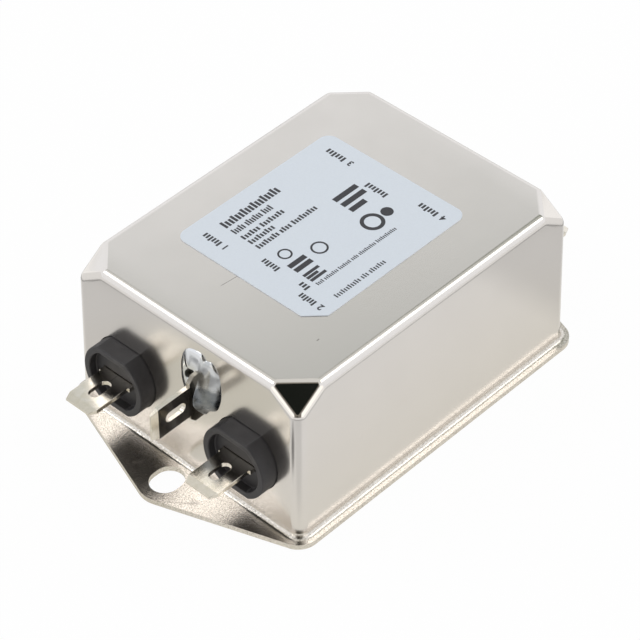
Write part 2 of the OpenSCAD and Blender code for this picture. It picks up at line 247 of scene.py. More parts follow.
def new_material(name: str) -> tuple[bpy.types.Material, Graph]:
    """Returns a new node material and its empty graph."""
    made = bpy.data.materials.new(name)
    made.use_nodes = True
    return made, Graph(made.node_tree)


# ---------------------------------------------------------------------------------------
# Finishes
# ---------------------------------------------------------------------------------------


@dataclass(frozen=True)
class Hairline:
    """A fine scratch on a level face, in millimetres.

    Attributes:
        start: Where it starts.
        end_x: How far it goes along X.
        rise: How much it moves along Y for each millimetre along X.
        width: Its width.
    """

    start: Point2
    end_x: float
    rise: float = 0.0
    width: float = 0.09

    def mask(self, g: Graph, x: Socket, y: Socket) -> Socket:
        """Returns 1 on the scratch and 0 off it.

        Args:
            g: The material's graph.
            x: Position along X in millimetres.
            y: Position along Y in millimetres.

        Returns:
            The mask.
        """
        along = g.math("SUBTRACT", x, self.start[0])
        line_y = g.math("MULTIPLY_ADD", along, self.rise)
        line_y.node.inputs[2].default_value = self.start[1]
        off = g.math("ABSOLUTE", g.math("SUBTRACT", y, line_y))
        across = g.remap(off, self.width * 0.4, self.width, 1.0, 0.0, smooth=True)
        return g.math("MULTIPLY", across, g.band(along, 0.0, self.end_x - self.start[0], 0.3))


@dataclass(frozen=True)
class PlatedSheet:
    """Bright plated steel sheet, dulled where the press has drawn it, with painted glints and
    shade.

    Attributes:
        name: Name of the material.
        colour: Colour of the plating.
        roughness: Roughness of the smooth walls.
        peel: Strength of the orange peel.
        foot: Height up to which the sheet is dull and coarse, in millimetres.
        foot_roughness: What the dull foot adds to the roughness.
        rim: Heights between which the top edge is coarse, in millimetres.
        top: Heights between which the scratches begin, in millimetres.
        corner: Half length, half width and height of the can's square corners, in millimetres.
        facet: Legs of the facets that cut those corners, in millimetres.
        burnish: How much smoother the facets are.
        grain_depth: Depth of the grain in millimetres.
        painted_glint: Colour of the grain's bright specks: painted glints.
        pit_shade_share: How much of the colour a pit of the grain keeps: painted shade in the pit.
        scratch_share: How much of the colour a scratch keeps.
        scratches: Fine scratches on the top.
    """

    name: str
    colour: Rgb = (0.753, 0.718, 0.680)
    roughness: float = 0.19
    peel: float = 0.06
    foot: float = 1.9
    foot_roughness: float = 0.01
    rim: Point2 = (29.4, 30.9)
    top: Point2 = (30.9, 30.95)
    corner: Rgb = (32.3, 24.7, 31.0)
    facet: Rgb = (6.8, 6.8, 4.8)
    burnish: float = 0.10
    grain_depth: float = 0.05
    painted_glint: Rgb = (0.93, 0.90, 0.84)
    pit_shade_share: float = 0.40
    scratch_share: float = 0.42
    scratches: tuple[Hairline, ...] = ()

    def material(self) -> bpy.types.Material:
        """Returns the finish as a material."""
        made, g = new_material(self.name)
        place = g.place()
        x, y, z = g.axes(place)
        foot = g.remap(z, self.foot - 0.5, self.foot + 0.9, 1.0, 0.0, smooth=True)
        rim = g.band(z, self.rim[0], self.rim[1], 0.05)
        inset = g.vector("SUBTRACT", self.corner, g.vector("ABSOLUTE", place, ORIGIN))
        cut = g.vector("DOT_PRODUCT", inset, tuple(1 / leg for leg in self.facet))
        burnished = g.remap(cut, 1.02, 1.12, 1.0, 0.0, smooth=True)
        cloud = g.speckle(place, 9.0, 4.0)
        stain = g.speckle(place, 2.2, 5.0, 0.65)
        grain = g.speckle(place, 0.24, 2.0, 0.7)
        colour = g.blend(g.remap(cloud, 0.35, 0.65, 0.0, 0.35),
                         self.colour, tuple(0.96 * c for c in self.colour))
        warm = (self.colour[0] * 0.94, self.colour[1] * 0.91, self.colour[2] * 0.85)
        colour = g.blend(g.remap(stain, 0.62, 0.78, 0.0, 0.22), colour, warm)
        colour = g.blend(g.math("MULTIPLY", foot, 0.7), colour, warm)
        # Dark and bright specks of the grain at the foot: painted shade in its pits and painted
        # glints.
        pit_shade = g.math("MULTIPLY", g.remap(grain, 0.36, 0.46, 0.6, 0.0), foot)
        colour = g.blend(pit_shade, colour, tuple(self.pit_shade_share * c for c in warm))
        painted_glint = g.math("MULTIPLY", g.remap(grain, 0.56, 0.66, 0.0, 0.8), foot)
        colour = g.blend(painted_glint, colour, self.painted_glint)
        for scratch in self.scratches:
            mask = g.math("MULTIPLY", scratch.mask(g, x, y), g.remap(z, *self.top, 0.0, 0.75))
            colour = g.blend(mask, colour, tuple(self.scratch_share * c for c in self.colour))
        gloss = g.math("ADD", g.remap(cloud, 0.3, 0.7, -0.02, 0.02), self.roughness)
        gloss = g.math("ADD", gloss, g.math("MULTIPLY", foot, self.foot_roughness))
        gloss = g.math("SUBTRACT", gloss, g.math("MULTIPLY", burnished, self.burnish))
        normal = g.relief(g.speckle(place, 1.1, 2.0), self.peel, 0.03)
        coarse = g.math("ADD", g.math("MULTIPLY", foot, 0.5), g.math("MULTIPLY", rim, 0.16))
        coarse = g.math("ADD", coarse, 0.02)
        coarse = g.math("MULTIPLY", coarse, g.math("SUBTRACT", 1.0, burnished))
        bumps = g.math("MULTIPLY", g.math("SUBTRACT", grain, 0.5), coarse)
        normal = g.relief(bumps, 0.9, self.grain_depth, normal)
        g.shader(Base_Color=colour, Metallic=1.0, Roughness=gloss, Normal=normal)
        return made


@dataclass(frozen=True)
class TinnedBlade:
    """Tin plating on a stamped brass blade: bright, with faint rolling lines and smears.

    Attributes:
        name: Name of the material.
        colour: Colour of the tin.
        roughness: Mean roughness.
        tarnish_and_shade_from: Place along X in millimetres from which it darkens towards the wall,
            if it does:
            tarnish from soldering and painted shade beside the solder.
        tarnish_and_shade_tone: Colour of that darkening, tarnish and painted shade.
    """

    name: str
    colour: Rgb = (0.81, 0.765, 0.68)
    roughness: float = 0.14
    tarnish_and_shade_from: float | None = None
    tarnish_and_shade_tone: Rgb = (0.17, 0.15, 0.12)

    def material(self) -> bpy.types.Material:
        """Returns the finish as a material."""
        made, g = new_material(self.name)
        place = g.place()
        smear = g.speckle(place, 1.6, 4.0)
        rolled = g.speckle(g.place(ROLLED), 0.16, 3.0)
        colour = g.blend(g.remap(smear, 0.4, 0.7, 0.0, 0.5), self.colour,
                         (self.colour[0] * 0.90, self.colour[1] * 0.87, self.colour[2] * 0.80))
        # Darker towards the wall: tarnish from soldering and painted shade beside the solder.
        if self.tarnish_and_shade_from is not None:
            x, _, _ = g.axes(place)
            near = g.remap(g.math("ADD", x, smear), self.tarnish_and_shade_from - 0.2, self.tarnish_and_shade_from + 1.2,
                           0.0, 0.85, smooth=True)
            colour = g.blend(near, colour, self.tarnish_and_shade_tone)
        gloss = g.math("ADD", g.remap(smear, 0.3, 0.7, -0.04, 0.06), self.roughness)
        normal = g.relief(rolled, 0.18, 0.02)
        normal = g.relief(g.speckle(place, 0.5, 3.0), 0.15, 0.03, normal)
        g.shader(Base_Color=colour, Metallic=1.0, Roughness=gloss, Normal=normal)
        return made


@dataclass(frozen=True)
class MouldedPlastic:
    """Moulded plastic with the dull, fine texture of a spark-eroded tool.

    Attributes:
        name: Name of the material.
        colour: Colour of the plastic.
        haze: Colour of the dust and rub marks on it.
        roughness: Mean roughness.
    """

    name: str
    colour: Rgb = (0.030, 0.028, 0.030)
    haze: Rgb = (0.060, 0.056, 0.058)
    roughness: float = 0.52

    def material(self) -> bpy.types.Material:
        """Returns the finish as a material."""
        made, g = new_material(self.name)
        place = g.place()
        patch = g.speckle(place, 2.4, 4.0)
        fine = g.speckle(place, 0.12, 3.0, 0.7)
        colour = g.blend(g.remap(patch, 0.35, 0.75, 0.0, 0.25), self.colour, self.haze)
        colour = g.blend(g.remap(fine, 0.62, 0.75, 0.0, 0.3), colour, self.haze)
        gloss = g.math("ADD", g.remap(patch, 0.3, 0.7, -0.05, 0.05), self.roughness)
        normal = g.relief(fine, 0.25, 0.03)
        g.shader(Base_Color=colour, Roughness=gloss, Normal=normal)
        return made


@dataclass(frozen=True)
class SolderSkin:
    """Set solder: bright, smooth, faintly frosted, flux-stained, with painted shade in its void and
    side.

    Attributes:
        name: Name of the material.
        colour: Colour of the solder.
        flux: Colour of the stains.
        void: Middle of the void along Y and Z in millimetres, if there is one.
        dull: Height under which the right side of the joint is dull and painted in shade, in
        millimetres, if it is.
        blade_side: Places along Y between which the right side ends, in millimetres.
        blade_skin: Places along X between which the skin on the blade begins, in millimetres.
        void_shade: Colour of the painted shade inside the void.
        side_shade: Colour of the painted shade over the right side.
        dull_shade: Colour of the painted shade over its dull parts.
    """

    name: str
    colour: Rgb = (0.74, 0.75, 0.76)
    flux: Rgb = (0.46, 0.43, 0.37)
    void: Point2 | None = None
    dull: float | None = None
    blade_side: Point2 = (-4.2, -3.9)
    blade_skin: Point2 = (-34.5, -33.9)
    void_shade: Rgb = (0.025, 0.025, 0.022)
    side_shade: Rgb = (0.26, 0.265, 0.25)
    dull_shade: Rgb = (0.14, 0.155, 0.17)

    def material(self) -> bpy.types.Material:
        """Returns the finish as a material."""
        made, g = new_material(self.name)
        place = g.place()
        frost = g.speckle(place, 1.3, 4.0)
        stain = g.speckle(place, 2.4, 4.0, 0.6)
        colour = g.blend(g.remap(stain, 0.60, 0.74, 0.0, 0.4), self.colour, self.flux)
        gloss = g.remap(frost, 0.40, 0.65, 0.13, 0.24)
        if self.void is not None:
            x, y, z = g.axes(place)
            off_y = g.math("SUBTRACT", y, self.void[0])
            off_z = g.math("SUBTRACT", z, self.void[1])
            along = g.math("MULTIPLY", g.math("SUBTRACT", off_z, off_y), 0.42)
            across = g.math("MULTIPLY", g.math("ADD", off_z, off_y), 0.8)
            away = g.math("SQRT", g.math("ADD", g.math("MULTIPLY", along, along),
                                         g.math("MULTIPLY", across, across)))
            away = g.math("ADD", away, g.math("MULTIPLY", frost, 0.3))
            # Painted shade: the void is darkened to near black.
            hole = g.remap(away, 1.0, 1.25, 1.0, 0.0, smooth=True)
            colour = g.blend(hole, colour, self.void_shade)
            # Painted shade: the right side is darkened, more where it is low or on the blade, which
            # is also rougher.
            wander = g.math("MULTIPLY", g.math("SUBTRACT", stain, 0.5), 3.0)
            low = g.remap(g.math("ADD", z, wander), self.dull - 0.5, self.dull + 0.7,
                          1.0, 0.0, smooth=True)
            high = g.remap(x, *self.blade_skin, 1.0, 0.0, smooth=True)
            right = g.remap(y, *self.blade_side, 1.0, 0.0, smooth=True)
            dulled = g.math("MULTIPLY", g.math("MAXIMUM", low, high), right)
            colour = g.blend(g.math("MULTIPLY", right, 0.45), colour, self.side_shade)
            colour = g.blend(g.math("MULTIPLY", dulled, g.remap(frost, 0.35, 0.7, 0.95, 0.6)),
                             colour, self.dull_shade)
            gloss = g.math("ADD", gloss, g.math("MULTIPLY", dulled, 0.12))
        normal = g.relief(g.speckle(place, 0.8, 2.0), 0.12, 0.05)
        g.shader(Base_Color=colour, Metallic=1.0, Roughness=gloss, Normal=normal)
        return made


@dataclass(frozen=True)
class Film:
    """Printed film or board: pale, with a faint mottle and a satin skin.

    Attributes:
        name: Name of the material.
        colour: Colour of the film.
        roughness: Mean roughness.
        mottle: How much darker the mottle gets, from 0 to 1.
        varnish: Weight of the clear varnish over it.
    """

    name: str
    colour: Rgb
    roughness: float = 0.45
    mottle: float = 0.03
    varnish: float = 0.0

    def material(self) -> bpy.types.Material:
        """Returns the finish as a material."""
        made, g = new_material(self.name)
        place = g.place()
        fibre = g.speckle(place, 0.25, 4.0)
        cloud = g.speckle(place, 6.0, 3.0)
        dark = tuple(c * (1 - self.mottle) for c in self.colour)
        colour = g.blend(g.remap(fibre, 0.35, 0.65, 0.0, 1.0), self.colour, dark)
        gloss = g.math("ADD", g.remap(cloud, 0.3, 0.7, -0.04, 0.04), self.roughness)
        normal = g.relief(fibre, 0.08, 0.01)
        g.shader(Base_Color=colour, Roughness=gloss, Normal=normal,
                 Coat_Weight=self.varnish, Coat_Roughness=0.22, Coat_IOR=1.8)
        return made


@dataclass(frozen=True)
class Winding:
    """Enamelled copper wire.

    Attributes:
        name: Name of the material.
        colour: Colour of the copper under its enamel.
    """

    name: str
    colour: Rgb = (0.62, 0.27, 0.12)

    def material(self) -> bpy.types.Material:
        """Returns the finish as a material."""
        made, g = new_material(self.name)
        place = g.place()
        tint = g.speckle(place, 1.5, 3.0)
        colour = g.blend(g.remap(tint, 0.35, 0.7, 0.0, 0.6), self.colour,
                         tuple(0.7 * c for c in self.colour))
        normal = g.relief(g.speckle(place, 0.2, 2.0), 0.1, 0.02)
        g.shader(Base_Color=colour, Metallic=1.0, Roughness=g.remap(tint, 0.3, 0.7, 0.22, 0.34),
                 Coat_Weight=0.6, Coat_Roughness=0.08, Normal=normal)
        return made


@dataclass(frozen=True)
class CastBody:
    """Plain part of the circuit: moulded, fired or dipped, with a mottled skin.

    Attributes:
        name: Name of the material.
        colour: Colour of the body.
        roughness: Mean roughness.
        pits: Size of the skin's pits in millimetres.
    """

    name: str
    colour: Rgb
    roughness: float = 0.4
    pits: float = 0.3

    def material(self) -> bpy.types.Material:
        """Returns the finish as a material."""
        made, g = new_material(self.name)
        place = g.place()
        cloud = g.speckle(place, 3.0, 4.0)
        colour = g.blend(g.remap(cloud, 0.35, 0.65, 0.0, 0.8), self.colour,
                         tuple(0.82 * c for c in self.colour))
        gloss = g.math("ADD", g.remap(cloud, 0.3, 0.7, -0.05, 0.05), self.roughness)
        normal = g.relief(g.speckle(place, self.pits, 3.0), 0.2, 0.04)
        g.shader(Base_Color=colour, Roughness=gloss, Normal=normal)
        return made


Finish = PlatedSheet | TinnedBlade | MouldedPlastic | SolderSkin | Film | Winding | CastBody


# ---------------------------------------------------------------------------------------
# Helpers on objects
# ---------------------------------------------------------------------------------------


def wear(piece: bpy.types.Object, finish: bpy.types.Material) -> None:
    """Gives a piece one material all over."""
    piece.data.materials.clear()
    piece.data.materials.append(finish)


def smoothing_group(name: str, sharp: float) -> bpy.types.NodeTree:
    """Makes a geometry group that shades smooth but keeps sharp corners.

    Args:
        name: Name of the group.
        sharp: Angle in radians from which an edge stays sharp.

    Returns:
        The node group for a Nodes modifier.
    """
    group = bpy.data.node_groups.new(name, "GeometryNodeTree")
    group.interface.new_socket("Geometry", in_out="INPUT", socket_type="NodeSocketGeometry")
    group.interface.new_socket("Geometry", in_out="OUTPUT", socket_type="NodeSocketGeometry")
    start = group.nodes.new("NodeGroupInput")
    weld = group.nodes.new("GeometryNodeMergeByDistance")
    weld.inputs["Distance"].default_value = 0.002 * MM
    faces = group.nodes.new("GeometryNodeSetShadeSmooth")
    faces.domain = "FACE"
    edges = group.nodes.new("GeometryNodeSetShadeSmooth")
    edges.domain = "EDGE"
    angle = group.nodes.new("GeometryNodeInputMeshEdgeAngle")
    compare = group.nodes.new("FunctionNodeCompare")
    compare.data_type = "FLOAT"
    compare.operation = "LESS_THAN"
    compare.inputs["B"].default_value = sharp
    end = group.nodes.new("NodeGroupOutput")
    link = group.links.new
    link(start.outputs["Geometry"], weld.inputs["Geometry"])
    link(weld.outputs["Geometry"], faces.inputs["Geometry"])
    link(faces.outputs["Geometry"], edges.inputs["Geometry"])
    link(angle.outputs["Unsigned Angle"], compare.inputs["A"])
    link(compare.outputs["Result"], edges.inputs["Shade Smooth"])
    link(edges.outputs["Geometry"], end.inputs["Geometry"])
    return group


def shade_round(piece: bpy.types.Object, sharp_degrees: float = 25.0, edge: float = 0.0) -> None:
    """Shades a piece's curved faces round, keeps its flats flat, and breaks its corners.

    Args:
        piece: The piece.
        sharp_degrees: Edges bent by this much or more stay sharp.
        edge: Width of the break on sharp corners in millimetres, or 0 for none.
    """
    modifier = piece.modifiers.new("smooth", "NODES")
    modifier.node_group = smoothing_group(f"{piece.name}.smooth", math.radians(sharp_degrees))
    if edge > 0.0:
        broken = piece.modifiers.new("corners", "BEVEL")
        broken.width = edge * MM
        broken.segments = 2
        broken.limit_method = "ANGLE"
        broken.angle_limit = math.radians(30.0)
        broken.use_clamp_overlap = True
    weighted = piece.modifiers.new("flats", "WEIGHTED_NORMAL")
    weighted.keep_sharp = True
    weighted.weight = 100


def round_blade(node: str) -> None:
    """Shades a stamped blade, whose bevels are shallow, and breaks its corners."""
    shade_round(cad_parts[node], sharp_degrees=8.0, edge=0.05)


def mesh_piece(name: str, made: bmesh.types.BMesh) -> bpy.types.Object:
    """Turns a bmesh into a piece that rides on the part.

    Args:
        name: Name of the piece.
        made: The bmesh, in metres, which is freed.

    Returns:
        The new object.
    """
    data = bpy.data.meshes.new(name)
    bmesh.ops.recalc_face_normals(made, faces=made.faces)
    made.to_mesh(data)
    made.free()
    piece = bpy.data.objects.new(name, data)
    bpy.context.scene.collection.objects.link(piece)
    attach(piece, ROOT)
    return piece


# ---------------------------------------------------------------------------------------
# Sub-assemblies
# ---------------------------------------------------------------------------------------


@dataclass
class Case:
    """The drawn can and the base plate welded under its flange.

    Attributes:
        can_finish: Finish of the can.
        plate_finish: Finish of the base plate.
    """

    can_finish: PlatedSheet = PlatedSheet("plated_can", scratches=(
        Hairline((-21.1, 2.55), -17.9, -0.09),
        Hairline((-20.1, -17.3), -19.9, 0.0, 0.16),
    ))
    plate_finish: PlatedSheet = PlatedSheet("plated_base", roughness=0.22)

    def build(self) -> None:
        """Rounds the shading of both sheets."""
        for node in ("can", "base_plate"):
            shade_round(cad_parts[node])

    def dress(self) -> None:
        """Plates both sheets."""
        wear(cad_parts["can"], self.can_finish.material())
        wear(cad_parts["base_plate"], self.plate_finish.material())


@dataclass
class Terminals:
    """The four bushings and their blades.

    Attributes:
        bushing_finish: Finish of the bushings.
        blade_finish: Finish of the blades.
        bushing_edge: Width of the break on a bushing's corners in millimetres.
    """

    bushing_finish: MouldedPlastic = MouldedPlastic("bushing_black")
    blade_finish: TinnedBlade = TinnedBlade("tinned_blade")
    bushing_edge: float = 0.18

    @staticmethod
    def names(kind: str) -> list[str]:
        """Returns the node names of the four pieces of a kind."""
        return [f"{kind}_{end.value}_{side.value}" for end in End for side in Side]

    def build(self) -> None:
        """Rounds the edges of the bushings and blades."""
        for name in self.names("bushing"):
            shade_round(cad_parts[name], edge=self.bushing_edge)
        for name in self.names("terminal"):
            round_blade(name)

    def dress(self) -> None:
        """Finishes bushings and blades."""
        plastic = self.bushing_finish.material()
        tin = self.blade_finish.material()
        for name in self.names("bushing"):
            wear(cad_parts[name], plastic)
        for name in self.names("terminal"):
            wear(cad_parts[name], tin)


@dataclass(frozen=True)
class Swell:
    """A round rise or hollow in the solder, in millimetres.

    Attributes:
        rise: Its height, below zero for a hollow.
        middle: Where it lies on the wall, as (v, w).
        spread: How far it reaches along v and w.
    """

    rise: float
    middle: Point2
    spread: Point2

    def at(self, v: float, w: float) -> float:
        """Returns its height at a place on the wall."""
        off_v = (v - self.middle[0]) / self.spread[0]
        off_w = (w - self.middle[1]) / self.spread[1]
        return self.rise * math.exp(-off_v ** 2 - off_w ** 2)


@dataclass(frozen=True)
class Lobe:
    """A place where the solder's outline steps out or in.

    Attributes:
        out: How far it steps out in millimetres, below zero for in.
        turn: Where it lies, in degrees from +v towards +w.
        spread: How far it reaches, in degrees.
    """

    out: float
    turn: float
    spread: float

    def at(self, turn: float) -> float:
        """Returns how far the outline steps out at an angle in radians."""
        off = (turn - math.radians(self.turn)) / math.radians(self.spread)
        return self.out * math.exp(-off ** 2)


@dataclass
class Earth:
    """The upright earth blade and the solder that holds it in the end wall.

    The solder is a height field on the wall, in millimetres: v runs to the left and w up, both
    from the blade's middle.

    Attributes:
        blade_finish: Finish of the blade.
        solder_finish: Finish of the solder.
        wall_half: Half length of the can at its top.
        wall_slope: How far the wall leans out for each millimetre down.
        blade_half: Half thickness of the blade.
        half_w: Half width of the pool.
        half_h: Half height of the pool.
        above: How far the pool's middle lies above the blade's.
        pool: Thickness of the pool.
        climb: How far the solder climbs the right and left side of the blade.
        reach: How quickly that climb falls off on each side.
        root: Middle and half height of the climb.
        square: Power that makes the pool squarer than an ellipse.
        lobes: Steps in the pool's outline.
        swells: Rises and hollows of the pool.
        ridge: Height and half width of the ridge on the pool's upper left.
        rings: Rings of the mesh.
        spokes: Spokes of the mesh.
    """

    blade_finish: TinnedBlade = TinnedBlade("tinned_earth_blade", tarnish_and_shade_from=-35.6)
    solder_finish: SolderSkin = SolderSkin("set_solder", void=(-1.95, 22.95), dull=22.3)
    wall_half: float = 32.3
    wall_slope: float = 0.016
    blade_half: float = 0.4
    half_w: float = 4.4
    half_h: float = 5.8
    above: float = 2.5
    pool: float = 0.9
    climb: Point2 = (1.5, 0.6)
    reach: Point2 = (0.8, 0.6)
    root: Point2 = (-1.0, 3.4)
    square: float = 2.6
    lobes: tuple[Lobe, ...] = (Lobe(-0.8, 104.0, 7.0), Lobe(1.3, 265.0, 8.0))
    swells: tuple[Swell, ...] = (Swell(0.35, (-2.2, 1.6), (2.0, 3.2)),
                                 Swell(-1.2, (1.6, 3.0), (0.9, 1.0)))
    ridge: Point2 = (0.22, 0.5)
    rings: int = 30
    spokes: int = 112

    def outline(self, turn: float) -> float:
        """Returns the pool's radius at an angle from +v towards +w, in radians."""
        across = abs(math.cos(turn)) / self.half_w
        up = abs(math.sin(turn)) / self.half_h
        radius = (across ** self.square + up ** self.square) ** (-1 / self.square)
        steps = sum(lobe.at(turn) for lobe in self.lobes)
        ripple = 0.14 * noise.noise(Vector((2.2 * math.cos(turn), 2.2 * math.sin(turn), 4.0)))
        return radius + steps + ripple

    def height(self, v: float, w: float, share: float) -> float:
        """Gives the solder's thickness over the wall.

        Args:
            v: Distance to the left of the blade's middle.
            w: Distance above the blade's middle.
            share: 0 at the pool's middle, 1 on its outline.

        Returns:
            The thickness in millimetres.
        """
        side = 0 if v < 0 else 1
        middle, half = self.root
        off = max(abs(v) - self.blade_half, 0.0)
        climb = self.climb[side] * math.exp(-off / self.reach[side] - ((w - middle) / half) ** 2)
        pool = self.pool * max(0.0, 1 - share ** 3) ** 0.6
        swell = sum(each.at(v, w) for each in self.swells)
        ridge_v = 1.8 + (w - 4.0) * 0.29
        rise, width = self.ridge
        ridge = rise * math.exp(-((v - ridge_v) / width) ** 2) / (1 + math.exp(-(w - 3.8) / 0.3))
        rough = 0.03 * noise.noise(Vector((v / 2.0, w / 2.0, 1.0)))
        edge = max(0.0, 1 - share ** 6)
        return max(0.0, pool + (climb + swell + ridge + rough) * edge)

    def build(self) -> None:
        """Rounds the blade and runs the solder over the wall."""
        round_blade("ground_tab")
        low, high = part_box("ground_tab")
        mid_y = (low.y + high.y) / 2 / MM
        mid_z = (low.z + high.z) / 2 / MM
        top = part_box("can")[1].z / MM
        made = bmesh.new()

        def point(v: float, w: float, height: float) -> bmesh.types.BMVert:
            """Returns a vertex at a place on the wall and a height over it."""
            z = mid_z + w
            x = -(self.wall_half + self.wall_slope * (top - z)) - height
            return made.verts.new(Vector((x, mid_y + v, z)) * MM)

        rows = [[point(0.0, self.above, self.height(0.0, self.above, 0.0))]]
        for ring in range(1, self.rings + 1):
            share = (ring / self.rings) ** 0.9
            row = []
            for spoke in range(self.spokes):
                turn = 2 * math.pi * spoke / self.spokes
                radius = share * self.outline(turn)
                v, w = radius * math.cos(turn), self.above + radius * math.sin(turn)
                row.append(point(v, w, self.height(v, w, share)))
            rows.append(row)
        skirt = []
        for spoke in range(self.spokes):
            turn = 2 * math.pi * spoke / self.spokes
            radius = self.outline(turn) + 0.03
            skirt.append(point(radius * math.cos(turn), self.above + radius * math.sin(turn), -0.1))
        rows.append(skirt)
        for spoke in range(self.spokes):
            after = (spoke + 1) % self.spokes
            made.faces.new((rows[0][0], rows[1][spoke], rows[1][after]))
            for inner, outer in zip(rows[1:], rows[2:]):
                made.faces.new((inner[spoke], outer[spoke], outer[after], inner[after]))
        self.solder = mesh_piece("solder_joint", made)
        for face in self.solder.data.polygons:
            face.use_smooth = True
        rounded = self.solder.modifiers.new("round", "SUBSURF")
        rounded.levels = rounded.render_levels = 1
        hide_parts("ground_solder")

    def dress(self) -> None:
        """Finishes the blade and the solder."""
        wear(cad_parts["ground_tab"], self.blade_finish.material())
        wear(self.solder, self.solder_finish.material())


@dataclass(frozen=True)
class PrintLine:
    """A line of plain bars in place of words, in millimetres on the label.

    Attributes:
        start: Where the line starts, at its foot.
        height: Height of the bars.
        words: Number of bars in each group.
        length: Length of the whole line.
        upright: Whether the line runs along Y and not along X.
        thick: Share of a bar's pitch that is inked.
        space: Gap between two groups, in pitches.
        short: Height of the shorter bars, as a share of the tall ones.
    """

    start: Point2
    height: float
    words: tuple[int, ...]
    length: float
    upright: bool = False
    thick: float = 0.62
    space: float = 0.6
    short: float = 0.80

    def bars(self) -> list[tuple[float, float, float, float]]:
        """Returns the bars as (low x, low y, high x, high y)."""
        gaps = self.space * (len(self.words) - 1)
        pitch = self.length / (sum(self.words) + gaps)
        x, y = self.start
        made = []
        along = 0.0
        count = 0
        for word in self.words:
            for _ in range(word):
                tall = self.height * (1.0 if count % 3 == 0 else self.short)
                low, high = along, along + pitch * self.thick
                if self.upright:
                    made.append((x - tall, y + low, x, y + high))
                else:
                    made.append((x + low, y, x + high, y + tall))
                along += pitch
                count += 1
            along += self.space * pitch
        return made


